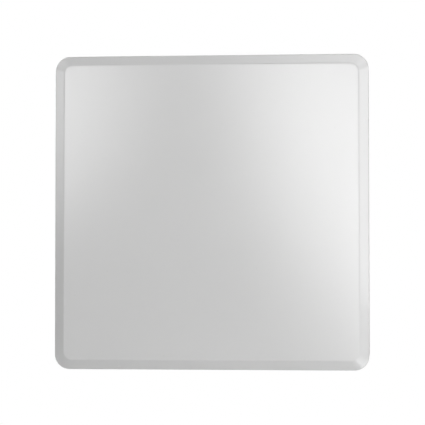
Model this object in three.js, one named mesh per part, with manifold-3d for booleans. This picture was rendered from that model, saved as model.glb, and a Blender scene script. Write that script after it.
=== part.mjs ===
// A square panel antenna for reading radio tags: a moulded radome over a stacked patch antenna, closed by an
// aluminium back plate that carries four mounting studs and a coaxial jack with a push-on dust cap.
//
// Millimetres. The assembly is laid out in a panel frame with x across, y up and z out of the front face, and is
// turned once at the end, so that the finished part stands upright: +Z up, its front facing -Y, and its origin in
// the middle of the mounting pad's rear face.
import * as THREE from "three";
import { mergeVertices } from "three/addons/utils/BufferGeometryUtils.js";
import Module from "manifold-3d";

const wasm = await Module();
wasm.setup();

// ---- Driving dimensions: housing ----
const WIDTH = 259; // across the radome's rim
const HEIGHT = 259;
const DEPTH = 33.5; // from the mounting pad's rear face to the radome's front face
const CORNER_RADIUS = 12; // of the rim, seen from the front
const FACE_CORNER_RADIUS = 5.8; // of the flat front, inside the bevel
const BEVEL_WIDTH = 7.9;
const BEVEL_DEPTH = 4.2;
const EDGE_ROUNDING = 0.8; // how far each side of the bevel's two edges their rounding reaches
const RIM_CHAMFER = 0.4;
const DRAFT = THREE.MathUtils.degToRad(1.5); // of the moulded side walls
const SIDE_WALL = 3.6;
const FACE_WALL = 3;
const RIM_LIP = 1.5; // what is left of the side wall outside the plate's edge
const RIM_BACK = 0.3; // how far the rim stops short of the pad's rear face
const CAVITY_FACE_RADIUS = 3; // of the cavity's corners at the front wall
const GASKET_THICKNESS = 1.4;
const GASKET_INSET = 0.2; // from the gasket's inner edge to the cavity

// ---- Driving dimensions: bosses, webs and gussets inside the radome ----
const SCREW_INSET = 9.5; // from the rim to a cover screw's axis
const SCREW_SPACING = 150; // between the two cover screws on a side
const BOSS_RADIUS = 3.6;
const BOSS_HOLE_DEPTH = 12;
const WEB_THICKNESS = 2.4;
const GUSSET_THICKNESS = 2;
const GUSSET_REACH = 10;
const GUSSET_SPACING = 45;

// ---- Driving dimensions: back plate and what it carries ----
const PLATE_THICKNESS = 2.5;
const PAD_RISE = 0.8; // how far the pressed pad stands behind the rest of the plate
const PAD_MARGIN = 16; // from a stud's axis to the pad's edge
const PAD_CORNER_RADIUS = 8;
const PAD_SLOPE = 1.2; // width of the pressed step round the pad
const STUD_SPACING = 100; // both ways
const STUD_RADIUS = 2.5;
const STUD_LENGTH = 16; // behind the pad
const STUD_TIP = 0.6; // chamfer
const STUD_HEAD_RADIUS = 4;
const STUD_HEAD_THICKNESS = 1.2;
const LABEL_WIDTH = 76;
const LABEL_HEIGHT = 24;
const LABEL_THICKNESS = 0.3;
const LABEL_CORNER_RADIUS = 2;
const SIDE_FITTING_OFFSET = 52; // from the jack's axis to the vent's and to the ground screw's
const VENT_HEAD_RADIUS = 8.5;
const VENT_HEAD_HEIGHT = 2.8;
const VENT_CROWN = 1.4; // height of the rounded edge of the vent's head
const VENT_STEM_RADIUS = 5.8;
const VENT_STEM_LENGTH = 6; // through the plate and past it
const GROUND_RADIUS = 2;
const GROUND_WASHER_RADIUS = 5;
const GROUND_WASHER_THICKNESS = 1;
const GROUND_HEAD_RADIUS = 4; // over the hexagon's corners
const GROUND_HEAD_HEIGHT = 2.8;
const GROUND_LENGTH = 8; // shank under the washer

// ---- Driving dimensions: coaxial jack and its cap ----
const FLANGE_SIZE = 25.4;
const FLANGE_THICKNESS = 3;
const FLANGE_CORNER_RADIUS = 1.6;
const FLANGE_HOLE_SPACING = 18.26;
const JACK_GASKET_THICKNESS = 0.8;
const BARREL_RADIUS = 7.94;
const BARREL_LENGTH = 13; // behind the flange
const BARREL_CHAMFER = 0.6;
const SOCKET_RADIUS = 4.2;
const SOCKET_DEPTH = 9;
const SPIGOT_RADIUS = 6; // the part that passes through the plate
const SPIGOT_PROUD = 1.5; // how far it stands out of the plate's front
const INSULATOR_RADIUS = 3.4;
const CONTACT_RADIUS = 1.5;
const CONTACT_RECESS = 2; // from the barrel's end to the contact's
const CONTACT_BORE_RADIUS = 0.85;
const CONTACT_BORE_DEPTH = 5;
const CONTACT_TAIL_RADIUS = 0.9;
const CONTACT_TAIL_LENGTH = 2.6;
const CAP_WALL = 1.5;
const CAP_FIT = 0.25; // radial, over the barrel
const CAP_LIFT = 0.4; // between the cap's mouth and the flange screws' heads
const CAP_END_ROOM = 0.5; // between the barrel's end and the cap's floor
const CAP_GRIP_WIDTH = 1.2; // how far the grip ring stands out
const CAP_GRIP_HEIGHT = 2.4;

// ---- Driving dimensions: antenna stack ----
const BOARD_INSET = 6; // from the mounting pad's edge to the feed board's
const BOARD_THICKNESS = 1.6;
const BOARD_CORNER_RADIUS = 3;
const TRACE_THICKNESS = 0.3;
const RING_HALF = 24; // half the hybrid ring's side, to the middle of its lines
const MAIN_LINE = 3;
const THROUGH_LINE = 5;
const PROBE_OFFSET = 42; // from the centre to each feed probe
const PROBE_RADIUS = 1;
const PROBE_PROUD = 0.6; // how far a probe stands out of the driven patch
const PROBE_COLLAR_RADIUS = 2;
const PROBE_COLLAR_HEIGHT = 0.8;
const LOAD_WIDTH = 3.2;
const LOAD_LENGTH = 6.3;
const LOAD_THICKNESS = 0.9;
const LOAD_EDGE = 0.12; // bevel
const LOAD_LINE = 12; // from the ring's corner to the load resistor
const INPUT_DROP = 22; // from the ring's corner to the cross run of the input line
const INPUT_EDGE = 3; // from the board's edge to the input pad
const DRIVEN_SIZE = 148;
const DRIVEN_THICKNESS = 1.5;
const DIRECTOR_SIZE = 126;
const DIRECTOR_THICKNESS = 1;
const PATCH_CORNER_RADIUS = 2;
const LOWER_GAP = 10.8; // from the board to the driven patch
const HEAD_ROOM = 3.4; // from the stack screws' heads to the front wall
const STUD_TO_COLUMN = 8; // each way, from a stud's axis to a spacer column's
const SPACER_RADIUS = 4;
const POST_RADIUS = 5;
const POST_BORE_DEPTH = 8;
const POST_SEAT_DEPTH = 0.8;
const LEAD_RADIUS = 1.1; // of the inner coaxial lead
const LEAD_BEND = 6; // where the lead turns down to the board
const LEAD_ROOM = 1; // from the lead to the driven patch

// ---- Driving dimensions: screws ----
const M3_RADIUS = 1.5;
const PAN_HEAD_RADIUS = 2.8;
const PAN_HEAD_HEIGHT = 1.8;
const PAN_HEAD_CROWN = 0.7;
const COUNTERSUNK_RADIUS = 2.9;
const COUNTERSUNK_DEPTH = 1.5;
const COVER_SCREW_LENGTH = 10;
const JACK_SCREW_LENGTH = 8;
const SEAT_METAL = 0.7; // what a blind seat leaves of the plate

// ---- Clearances and mesh steps ----
const SEAT = 0.05; // the film of glue, flux or lacquer between faces that seat on each other
const SHANK_FIT = 0.2; // radial, round a screw, a stud or a probe
const SPIGOT_FIT = 0.3; // radial, round the jack's spigot and the vent's stem
const PLATE_FIT = 0.3; // between the plate's edge and the rim's lip
const CUT_PAST = 1; // how far a cutting tool runs past the faces it opens
const JOIN = 0.4; // how far joined forms run into each other
const CORNER_STEPS = 10; // in a quarter turn of the housing's corners
const EDGE_STEPS = 2; // across a rounded edge
const SMALL_CORNER_STEPS = 4;
const ROUND_SIDES = 16;
const FINE_SIDES = 32;
const LEAD_SIDES = 8;
const LEAD_STEPS = 18;
const WELD = 1e-4;

// ---- Levels in the panel frame, from the back to the front ----
const padRear = 0;
const plateRear = padRear + PAD_RISE;
const plateFront = plateRear + PLATE_THICKNESS;
const panFloor = padRear + PLATE_THICKNESS;
const rimRear = padRear + RIM_BACK;
const ledge = plateFront + GASKET_THICKNESS + 2 * SEAT;
const bevelRear = DEPTH - BEVEL_DEPTH;
const faceInside = DEPTH - FACE_WALL;
const boardRear = panFloor + SEAT;
const boardFront = boardRear + BOARD_THICKNESS;
const traceRear = boardFront + SEAT;
const traceFront = traceRear + TRACE_THICKNESS;
const drivenRear = boardFront + LOWER_GAP;
const drivenFront = drivenRear + DRIVEN_THICKNESS;
const directorFront = faceInside - HEAD_ROOM - PAN_HEAD_HEIGHT - SEAT;
const directorRear = directorFront - DIRECTOR_THICKNESS;
const flangeFront = plateRear - JACK_GASKET_THICKNESS - 2 * SEAT;
const flangeRear = flangeFront - FLANGE_THICKNESS;
const barrelEnd = flangeRear - BARREL_LENGTH;
const spigotEnd = plateFront + SPIGOT_PROUD;
const contactTail = spigotEnd + CONTACT_TAIL_LENGTH;

// ---- Places across the panel ----
const padHalf = STUD_SPACING / 2 + PAD_MARGIN;
const boardHalf = padHalf - BOARD_INSET;
const columnOffset = STUD_SPACING / 2 - STUD_TO_COLUMN;
const screwX = WIDTH / 2 - SCREW_INSET;
const screwY = HEIGHT / 2 - SCREW_INSET;
// The strip between the pad and the bosses holds the jack, the vent and the ground screw below, and the label above.
const stripMiddle = (padHalf + PAD_SLOPE + screwY - BOSS_RADIUS) / 2;
const jackY = -stripMiddle;
const inputY = -(boardHalf - INPUT_EDGE);

// ---- Shapes ----

// A rounded rectangle as one ring of points at height z, anticlockwise seen from the front.
function roundedRing(halfWidth, halfHeight, radius, z, steps = CORNER_STEPS) {
  const ring = [];
  for (let quarter = 0; quarter < 4; quarter++) {
    const toRight = quarter === 0 || quarter === 3 ? 1 : -1;
    const toTop = quarter < 2 ? 1 : -1;
    for (let i = 0; i <= steps; i++) {
      const angle = ((quarter + i / steps) * Math.PI) / 2;
      const x = toRight * (halfWidth - radius) + radius * Math.cos(angle);
      const y = toTop * (halfHeight - radius) + radius * Math.sin(angle);
      ring.push(new THREE.Vector3(x, y, z));
    }
  }
  return ring;
}

// A closed skin through rings of equally many points, with a flat cap at each end.
function loft(rings) {
  const count = rings[0].length;
  const index = [];
  for (let r = 0; r + 1 < rings.length; r++) {
    for (let i = 0; i < count; i++) {
      const a = r * count + i;
      const b = r * count + ((i + 1) % count);
      index.push(a, b, b + count, a, b + count, a + count);
    }
  }
  const last = (rings.length - 1) * count;
  const outline = (ring) => ring.map((p) => new THREE.Vector2(p.x, p.y));
  for (const [a, b, c] of THREE.ShapeUtils.triangulateShape(outline(rings[0]), [])) {
    index.push(a, c, b);
  }
  for (const [a, b, c] of THREE.ShapeUtils.triangulateShape(outline(rings.at(-1)), [])) {
    index.push(last + a, last + b, last + c);
  }
  const positions = rings.flat().flatMap((p) => p.toArray());
  const geometry = new THREE.BufferGeometry();
  geometry.setAttribute("position", new THREE.Float32BufferAttribute(positions, 3));
  geometry.setIndex(index);
  return geometry;
}

// A slab with rounded corners between two heights.
function slab(halfWidth, halfHeight, radius, rear, front) {
  return loft([
    roundedRing(halfWidth, halfHeight, radius, rear, SMALL_CORNER_STEPS),
    roundedRing(halfWidth, halfHeight, radius, front, SMALL_CORNER_STEPS),
  ]);
}

// A solid of revolution about z, from a profile of [radius, z] points that runs anticlockwise.
function turned(profile, sides = ROUND_SIDES) {
  const points = profile.map(([radius, z]) => new THREE.Vector2(radius, z));
  return new THREE.LatheGeometry(points, sides).rotateX(Math.PI / 2);
}

function rod(radius, rear, front, sides = ROUND_SIDES) {
  const profile = [[0, rear], [radius, rear], [radius, front], [0, front]];
  return turned(profile, sides);
}

function tube(innerRadius, outerRadius, rear, front, sides = ROUND_SIDES) {
  const profile = [
    [innerRadius, rear],
    [outerRadius, rear],
    [outerRadius, front],
    [innerRadius, front],
    [innerRadius, rear],
  ];
  return turned(profile, sides);
}

function box(x0, x1, y0, y1, z0, z1) {
  const geometry = new THREE.BoxGeometry(x1 - x0, y1 - y0, z1 - z0);
  return geometry.translate((x0 + x1) / 2, (y0 + y1) / 2, (z0 + z1) / 2);
}

// ---- Solids ----

function toSolid(geometry) {
  const bare = geometry.clone();
  bare.deleteAttribute("normal");
  bare.deleteAttribute("uv");
  const merged = mergeVertices(bare, WELD);
  return new wasm.Manifold(
    new wasm.Mesh({
      numProp: 3,
      vertProperties: merged.attributes.position.array,
      triVerts: new Uint32Array(merged.index.array),
    }),
  );
}

function toGeometry(solid) {
  const mesh = solid.getMesh();
  const geometry = new THREE.BufferGeometry();
  geometry.setAttribute("position", new THREE.BufferAttribute(mesh.vertProperties, 3));
  geometry.setIndex(new THREE.BufferAttribute(mesh.triVerts, 1));
  geometry.computeVertexNormals();
  return geometry;
}

// Joins some geometries to a base and then cuts others out of it.
function carve(base, joined, cut) {
  let solid = toSolid(base);
  for (const geometry of joined) solid = solid.add(toSolid(geometry));
  for (const geometry of cut) solid = solid.subtract(toSolid(geometry));
  return toGeometry(solid);
}

// ---- Patterns: lists of places across the panel ----

function square(offset) {
  return [[offset, offset], [-offset, offset], [-offset, -offset], [offset, -offset]];
}

// The cover screws, two on each side. inward points from the screw towards the middle of the panel.
function coverScrewPlaces() {
  const half = SCREW_SPACING / 2;
  const places = [];
  for (const side of [-1, 1]) {
    for (const along of [-half, half]) {
      places.push({ x: side * screwX, y: along, inward: [-side, 0] });
      places.push({ x: along, y: side * screwY, inward: [0, -side] });
    }
  }
  return places;
}

const flangeHoles = square(FLANGE_HOLE_SPACING / 2).map(([x, y]) => [x, y + jackY]);
const probePlaces = [[-PROBE_OFFSET, 0], [0, PROBE_OFFSET]];
const ventPlace = [SIDE_FITTING_OFFSET, jackY];
const groundPlace = [-SIDE_FITTING_OFFSET, jackY];

function at(places, make) {
  return places.map(([x, y]) => make().translate(x, y, 0));
}

// ---- Radome ----

// The point EDGE_ROUNDING away from one station of the outline, on the way to another.
function stepTowards(from, to) {
  const length = Math.hypot(to.x - from.x, to.y - from.y);
  return from.clone().lerp(to, EDGE_ROUNDING / length);
}

// The outer outline from the rim to the flat front. A station's x is its inset from the rim, its y the height and
// its z the radius of the corners there. The bevel's two edges are rounded.
function outerSkin() {
  const drafted = (bevelRear - rimRear) * Math.tan(DRAFT);
  const inset = drafted + BEVEL_WIDTH;
  const rim = new THREE.Vector3(0, rimRear + RIM_CHAMFER, CORNER_RADIUS);
  const shoulder = new THREE.Vector3(drafted, bevelRear, CORNER_RADIUS - drafted);
  const brow = new THREE.Vector3(inset, DEPTH, FACE_CORNER_RADIUS);
  const middle = new THREE.Vector3(inset + FACE_CORNER_RADIUS, DEPTH, 0);
  const rounded = (before, edge, after) => {
    const start = stepTowards(edge, before);
    const end = stepTowards(edge, after);
    return new THREE.QuadraticBezierCurve3(start, edge, end).getPoints(EDGE_STEPS);
  };
  const stations = [
    new THREE.Vector3(RIM_CHAMFER, rimRear, CORNER_RADIUS - RIM_CHAMFER),
    rim,
    ...rounded(rim, shoulder, brow),
    ...rounded(shoulder, brow, middle),
  ];
  return loft(stations.map(({ x, y, z }) => roundedRing(WIDTH / 2 - x, HEIGHT / 2 - x, z, y)));
}

// Where the cavity's wall stands at height z, in front of the ledge.
function cavityInset(z) {
  return SIDE_WALL + (z - ledge) * Math.tan(DRAFT);
}

function cavity() {
  const ringAt = (inset, z) =>
    roundedRing(WIDTH / 2 - inset, HEIGHT / 2 - inset, CORNER_RADIUS - inset, z);
  const innerBevelRear = faceInside - BEVEL_DEPTH;
  const faceInset = cavityInset(innerBevelRear) + BEVEL_WIDTH;
  return loft([
    ringAt(RIM_LIP, rimRear - CUT_PAST),
    ringAt(RIM_LIP, ledge),
    ringAt(SIDE_WALL, ledge),
    ringAt(cavityInset(innerBevelRear), innerBevelRear),
    roundedRing(WIDTH / 2 - faceInset, HEIGHT / 2 - faceInset, CAVITY_FACE_RADIUS, faceInside),
  ]);
}

// A boss for one cover screw, standing on the front wall, and the web that ties it to the side wall.
function boss({ x, y }) {
  return rod(BOSS_RADIUS, plateFront + SEAT, faceInside + JOIN).translate(x, y, 0);
}

function bossWeb({ x, y, inward }) {
  const outwards = SCREW_INSET - SIDE_WALL + JOIN;
  const endX = x - inward[0] * outwards;
  const endY = y - inward[1] * outwards;
  const half = WEB_THICKNESS / 2;
  const acrossX = inward[0] === 0 ? half : 0;
  const acrossY = inward[1] === 0 ? half : 0;
  return box(
    Math.min(x, endX) - acrossX,
    Math.max(x, endX) + acrossX,
    Math.min(y, endY) - acrossY,
    Math.max(y, endY) + acrossY,
    ledge + JOIN,
    faceInside + JOIN,
  );
}

// Triangular gussets between the front wall and one side wall, made for a side at distance reach and turned to it.
function gussets(reach, turn) {
  const foot = reach - cavityInset(faceInside) + JOIN;
  const tip = foot - BEVEL_WIDTH - GUSSET_REACH;
  const shape = new THREE.Shape();
  shape.moveTo(tip, faceInside + JOIN);
  shape.lineTo(foot, faceInside - BEVEL_DEPTH - GUSSET_REACH);
  shape.lineTo(foot, faceInside + JOIN);
  return [-GUSSET_SPACING, 0, GUSSET_SPACING].map((along) => {
    const options = { depth: GUSSET_THICKNESS, bevelEnabled: false };
    const geometry = new THREE.ExtrudeGeometry(shape, options);
    geometry.translate(0, 0, -GUSSET_THICKNESS / 2);
    geometry.rotateX(Math.PI / 2);
    geometry.translate(0, along, 0);
    return geometry.rotateZ(turn);
  });
}

function radome() {
  const places = coverScrewPlaces();
  const shell = toSolid(outerSkin()).subtract(toSolid(cavity()));
  const inside = [
    ...places.map(boss),
    ...places.map(bossWeb),
    ...gussets(WIDTH / 2, 0),
    ...gussets(HEIGHT / 2, Math.PI / 2),
    ...gussets(WIDTH / 2, Math.PI),
    ...gussets(HEIGHT / 2, -Math.PI / 2),
  ];
  const holeFront = plateFront + BOSS_HOLE_DEPTH;
  const holes = places.map(({ x, y }) =>
    rod(M3_RADIUS + SHANK_FIT, plateFront - CUT_PAST, holeFront).translate(x, y, 0),
  );
  return carve(toGeometry(shell), inside, holes);
}

// ---- Back plate and its fittings ----

function countersunkHole() {
  const throat = M3_RADIUS + SHANK_FIT;
  const mouth = COUNTERSUNK_RADIUS + SHANK_FIT;
  const coneEnd = plateRear + SEAT + COUNTERSUNK_DEPTH;
  return turned([
    [0, plateRear - CUT_PAST],
    [mouth, plateRear - CUT_PAST],
    [mouth, plateRear + SEAT],
    [throat, coneEnd],
    [throat, plateFront + CUT_PAST],
    [0, plateFront + CUT_PAST],
  ]);
}

function studHole() {
  const shank = STUD_RADIUS + SHANK_FIT;
  const head = STUD_HEAD_RADIUS + SHANK_FIT;
  const shoulder = panFloor - STUD_HEAD_THICKNESS - 2 * SEAT;
  return turned([
    [0, padRear - CUT_PAST],
    [shank, padRear - CUT_PAST],
    [shank, shoulder],
    [head, shoulder],
    [head, panFloor + CUT_PAST],
    [0, panFloor + CUT_PAST],
  ]);
}

function backPlate() {
  const inset = RIM_LIP + PLATE_FIT;
  const sheet = loft([
    roundedRing(WIDTH / 2 - inset, HEIGHT / 2 - inset, CORNER_RADIUS - inset, plateRear),
    roundedRing(WIDTH / 2 - inset, HEIGHT / 2 - inset, CORNER_RADIUS - inset, plateFront),
  ]);
  const padFoot = padHalf + PAD_SLOPE;
  const pad = loft([
    roundedRing(padHalf, padHalf, PAD_CORNER_RADIUS, padRear),
    roundedRing(padFoot, padFoot, PAD_CORNER_RADIUS + PAD_SLOPE, plateRear),
    roundedRing(padFoot, padFoot, PAD_CORNER_RADIUS + PAD_SLOPE, plateRear + JOIN),
  ]);
  const panHalf = padHalf - PAD_SLOPE;
  const pan = loft([
    roundedRing(panHalf, panHalf, PAD_CORNER_RADIUS, panFloor),
    roundedRing(padHalf, padHalf, PAD_CORNER_RADIUS + PAD_SLOPE, plateFront),
    roundedRing(padHalf, padHalf, PAD_CORNER_RADIUS + PAD_SLOPE, plateFront + CUT_PAST),
  ]);
  const past = [plateRear - CUT_PAST, plateFront + CUT_PAST];
  const postSeat = [panFloor - POST_SEAT_DEPTH, panFloor + CUT_PAST];
  const blindSeat = [padRear + SEAT_METAL, panFloor + CUT_PAST];
  const screwPlaces = coverScrewPlaces().map(({ x, y }) => [x, y]);
  return carve(sheet, [pad], [
    pan,
    ...at(screwPlaces, countersunkHole),
    ...at(square(STUD_SPACING / 2), studHole),
    ...at([[0, jackY]], () => rod(SPIGOT_RADIUS + SPIGOT_FIT, ...past, FINE_SIDES)),
    ...at(flangeHoles, () => rod(M3_RADIUS + SHANK_FIT, ...past)),
    ...at([ventPlace], () => rod(VENT_STEM_RADIUS + SPIGOT_FIT, ...past)),
    ...at([groundPlace], () => rod(GROUND_RADIUS + SHANK_FIT, ...past)),
    ...at([[0, 0]], () => rod(POST_RADIUS + SHANK_FIT, ...postSeat)),
    ...at(square(columnOffset), () => rod(M3_RADIUS + SHANK_FIT, ...blindSeat)),
  ]);
}

// The seal runs round the plate's front edge, on the radome's ledge.
function rimGasket() {
  const outer = RIM_LIP + PLATE_FIT;
  const inner = SIDE_WALL - GASKET_INSET;
  const rear = plateFront + SEAT;
  const front = rear + GASKET_THICKNESS;
  const ringAt = (inset, z) =>
    roundedRing(WIDTH / 2 - inset, HEIGHT / 2 - inset, CORNER_RADIUS - inset, z);
  const opening = loft([ringAt(inner, rear - CUT_PAST), ringAt(inner, front + CUT_PAST)]);
  return carve(loft([ringAt(outer, rear), ringAt(outer, front)]), [], [opening]);
}

function coverScrew() {
  const head = plateRear + SEAT;
  const tip = head + COVER_SCREW_LENGTH;
  return turned([
    [0, head],
    [COUNTERSUNK_RADIUS, head],
    [M3_RADIUS, head + COUNTERSUNK_DEPTH],
    [M3_RADIUS, tip - M3_RADIUS],
    [M3_RADIUS / 2, tip],
    [0, tip],
  ]);
}

function mountingStud() {
  const headFront = panFloor - SEAT;
  const headRear = headFront - STUD_HEAD_THICKNESS;
  const end = padRear - STUD_LENGTH;
  return turned([
    [0, end],
    [STUD_RADIUS - STUD_TIP, end],
    [STUD_RADIUS, end + STUD_TIP],
    [STUD_RADIUS, headRear],
    [STUD_HEAD_RADIUS, headRear],
    [STUD_HEAD_RADIUS, headFront],
    [0, headFront],
  ]);
}

function ratingLabel() {
  const front = plateRear - SEAT;
  const rear = front - LABEL_THICKNESS;
  return slab(LABEL_WIDTH / 2, LABEL_HEIGHT / 2, LABEL_CORNER_RADIUS, rear, front);
}

// A low round head with a rounded edge, over a stem that snaps through the plate.
function ventPlug() {
  const underHead = plateRear - SEAT;
  const top = underHead - VENT_HEAD_HEIGHT;
  const profile = [[0, top]];
  for (let i = 0; i <= SMALL_CORNER_STEPS; i++) {
    const angle = ((i / SMALL_CORNER_STEPS) * Math.PI) / 2;
    const radius = VENT_HEAD_RADIUS - VENT_CROWN * (1 - Math.sin(angle));
    profile.push([radius, top + VENT_CROWN * (1 - Math.cos(angle))]);
  }
  profile.push([VENT_HEAD_RADIUS, underHead]);
  profile.push([VENT_STEM_RADIUS, underHead]);
  profile.push([VENT_STEM_RADIUS, underHead + VENT_STEM_LENGTH]);
  profile.push([0, underHead + VENT_STEM_LENGTH]);
  return turned(profile, FINE_SIDES);
}

// A hexagon-head screw with its washer face in one piece.
function groundScrew() {
  const underWasher = plateRear - SEAT;
  const washerTop = underWasher - GROUND_WASHER_THICKNESS;
  const washerAndShank = turned([
    [0, washerTop],
    [GROUND_WASHER_RADIUS, washerTop],
    [GROUND_WASHER_RADIUS, underWasher],
    [GROUND_RADIUS, underWasher],
    [GROUND_RADIUS, underWasher + GROUND_LENGTH],
    [0, underWasher + GROUND_LENGTH],
  ]);
  const hexagon = rod(GROUND_HEAD_RADIUS, washerTop - GROUND_HEAD_HEIGHT, washerTop + JOIN, 6);
  return carve(washerAndShank, [hexagon], []);
}

// ---- Coaxial jack and cap ----

function jackBody() {
  const socketFloor = barrelEnd + SOCKET_DEPTH;
  const bore = INSULATOR_RADIUS + SHANK_FIT;
  const barrel = turned(
    [
      [SOCKET_RADIUS, barrelEnd],
      [BARREL_RADIUS - BARREL_CHAMFER, barrelEnd],
      [BARREL_RADIUS, barrelEnd + BARREL_CHAMFER],
      [BARREL_RADIUS, flangeRear + JOIN],
      [SPIGOT_RADIUS, flangeRear + JOIN],
      [SPIGOT_RADIUS, spigotEnd],
      [bore, spigotEnd],
      [bore, socketFloor],
      [SOCKET_RADIUS, socketFloor],
      [SOCKET_RADIUS, barrelEnd],
    ],
    FINE_SIDES,
  );
  const half = FLANGE_SIZE / 2;
  const flange = slab(half, half, FLANGE_CORNER_RADIUS, flangeRear, flangeFront);
  const flangeBore = rod(SOCKET_RADIUS + JOIN, flangeRear - CUT_PAST, flangeFront + CUT_PAST);
  const openFlange = carve(flange, [], [flangeBore]);
  const holes = square(FLANGE_HOLE_SPACING / 2).map(([x, y]) =>
    rod(M3_RADIUS + SHANK_FIT, flangeRear - CUT_PAST, flangeFront + CUT_PAST).translate(x, y, 0),
  );
  return carve(barrel, [openFlange], holes);
}

function jackInsulator() {
  const rear = barrelEnd + SOCKET_DEPTH + SEAT;
  return tube(CONTACT_RADIUS + SHANK_FIT, INSULATOR_RADIUS, rear, spigotEnd);
}

function jackContact() {
  const end = barrelEnd + CONTACT_RECESS;
  return turned([
    [CONTACT_BORE_RADIUS, end],
    [CONTACT_RADIUS, end],
    [CONTACT_RADIUS, spigotEnd],
    [CONTACT_TAIL_RADIUS, spigotEnd],
    [CONTACT_TAIL_RADIUS, contactTail],
    [0, contactTail],
    [0, end + CONTACT_BORE_DEPTH],
    [CONTACT_BORE_RADIUS, end + CONTACT_BORE_DEPTH],
    [CONTACT_BORE_RADIUS, end],
  ]);
}

function jackGasket() {
  const half = FLANGE_SIZE / 2;
  const front = plateRear - SEAT;
  const rear = front - JACK_GASKET_THICKNESS;
  const centre = rod(SPIGOT_RADIUS + SPIGOT_FIT, rear - CUT_PAST, front + CUT_PAST, FINE_SIDES);
  const holes = square(FLANGE_HOLE_SPACING / 2).map(([x, y]) =>
    rod(M3_RADIUS + SHANK_FIT, rear - CUT_PAST, front + CUT_PAST).translate(x, y, 0),
  );
  return carve(slab(half, half, FLANGE_CORNER_RADIUS, rear, front), [], [centre, ...holes]);
}

// A pan-head screw with its seat at z = 0 and its shank along +z.
function panScrew(length) {
  const shoulder = -PAN_HEAD_HEIGHT + PAN_HEAD_CROWN;
  return turned([
    [0, -PAN_HEAD_HEIGHT],
    [PAN_HEAD_RADIUS - PAN_HEAD_CROWN, -PAN_HEAD_HEIGHT],
    [PAN_HEAD_RADIUS, shoulder],
    [PAN_HEAD_RADIUS, 0],
    [M3_RADIUS, 0],
    [M3_RADIUS, length],
    [0, length],
  ]);
}

function jackScrew() {
  return panScrew(JACK_SCREW_LENGTH).translate(0, 0, flangeRear - SEAT);
}

// A cup pushed over the jack's barrel, with a grip ring round its closed end.
function dustCap() {
  const inner = BARREL_RADIUS + CAP_FIT;
  const outer = inner + CAP_WALL;
  const mouth = flangeRear - SEAT - PAN_HEAD_HEIGHT - CAP_LIFT;
  const floor = barrelEnd - CAP_END_ROOM;
  const end = floor - CAP_WALL;
  const grip = outer + CAP_GRIP_WIDTH;
  return turned(
    [
      [0, end],
      [grip - CAP_GRIP_WIDTH / 2, end],
      [grip, end + CAP_GRIP_WIDTH / 2],
      [grip, end + CAP_GRIP_HEIGHT - CAP_GRIP_WIDTH / 2],
      [outer, end + CAP_GRIP_HEIGHT],
      [outer, mouth],
      [inner, mouth],
      [inner, floor],
      [0, floor],
    ],
    FINE_SIDES,
  );
}

// ---- Antenna stack ----

function feedBoard() {
  const board = slab(boardHalf, boardHalf, BOARD_CORNER_RADIUS, boardRear, boardFront);
  const past = [boardRear - CUT_PAST, boardFront + CUT_PAST];
  return carve(board, [], [
    rod(POST_RADIUS + SHANK_FIT, ...past),
    ...at(square(columnOffset), () => rod(M3_RADIUS + SHANK_FIT, ...past)),
  ]);
}

// One strip of the printed network, along a path of right-angled turns.
function strip(path, width) {
  const half = width / 2;
  return path.slice(1).map(([x, y], i) => {
    const [fromX, fromY] = path[i];
    return box(
      Math.min(fromX, x) - half,
      Math.max(fromX, x) + half,
      Math.min(fromY, y) - half,
      Math.max(fromY, y) + half,
      traceRear,
      traceFront,
    );
  });
}

// The branch-line ring splits the input in two equal parts a quarter wave apart and feeds one probe with each,
// by lines of equal length. What comes back ends in the load resistor.
function hybridTrace() {
  const r = RING_HALF;
  const runs = [
    ...strip([[-r, r], [r, r]], THROUGH_LINE),
    ...strip([[-r, -r], [r, -r]], THROUGH_LINE),
    ...strip([[-r, -r], [-r, r]], MAIN_LINE),
    ...strip([[r, -r], [r, r]], MAIN_LINE),
    ...strip([[-r, r], [-PROBE_OFFSET, r], [-PROBE_OFFSET, 0]], MAIN_LINE),
    ...strip([[r, r], [r, PROBE_OFFSET], [0, PROBE_OFFSET]], MAIN_LINE),
    ...strip([[-r, -r], [-r, -r - INPUT_DROP], [0, -r - INPUT_DROP], [0, inputY]], MAIN_LINE),
    ...strip([[r, -r], [r, -r - LOAD_LINE + MAIN_LINE / 2]], MAIN_LINE),
  ];
  return carve(runs[0], runs.slice(1), []);
}

function loadResistor() {
  const rear = boardFront + SEAT;
  const shape = new THREE.Shape();
  const halfWidth = LOAD_WIDTH / 2 - LOAD_EDGE;
  const halfLength = LOAD_LENGTH / 2 - LOAD_EDGE;
  shape.moveTo(-halfWidth, -halfLength);
  shape.lineTo(halfWidth, -halfLength);
  shape.lineTo(halfWidth, halfLength);
  shape.lineTo(-halfWidth, halfLength);
  const geometry = new THREE.ExtrudeGeometry(shape, {
    depth: LOAD_THICKNESS - 2 * LOAD_EDGE,
    bevelThickness: LOAD_EDGE,
    bevelSize: LOAD_EDGE,
    bevelSegments: 1,
  });
  const y = -RING_HALF - LOAD_LINE - SHANK_FIT - LOAD_LENGTH / 2;
  return geometry.translate(RING_HALF, y, rear + LOAD_EDGE);
}

function feedProbe() {
  const collarRear = drivenRear - SEAT - PROBE_COLLAR_HEIGHT;
  return turned([
    [0, traceFront + SEAT],
    [PROBE_RADIUS, traceFront + SEAT],
    [PROBE_RADIUS, collarRear],
    [PROBE_COLLAR_RADIUS, collarRear],
    [PROBE_COLLAR_RADIUS, drivenRear - SEAT],
    [PROBE_RADIUS, drivenRear - SEAT],
    [PROBE_RADIUS, drivenFront + PROBE_PROUD],
    [0, drivenFront + PROBE_PROUD],
  ]);
}

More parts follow.
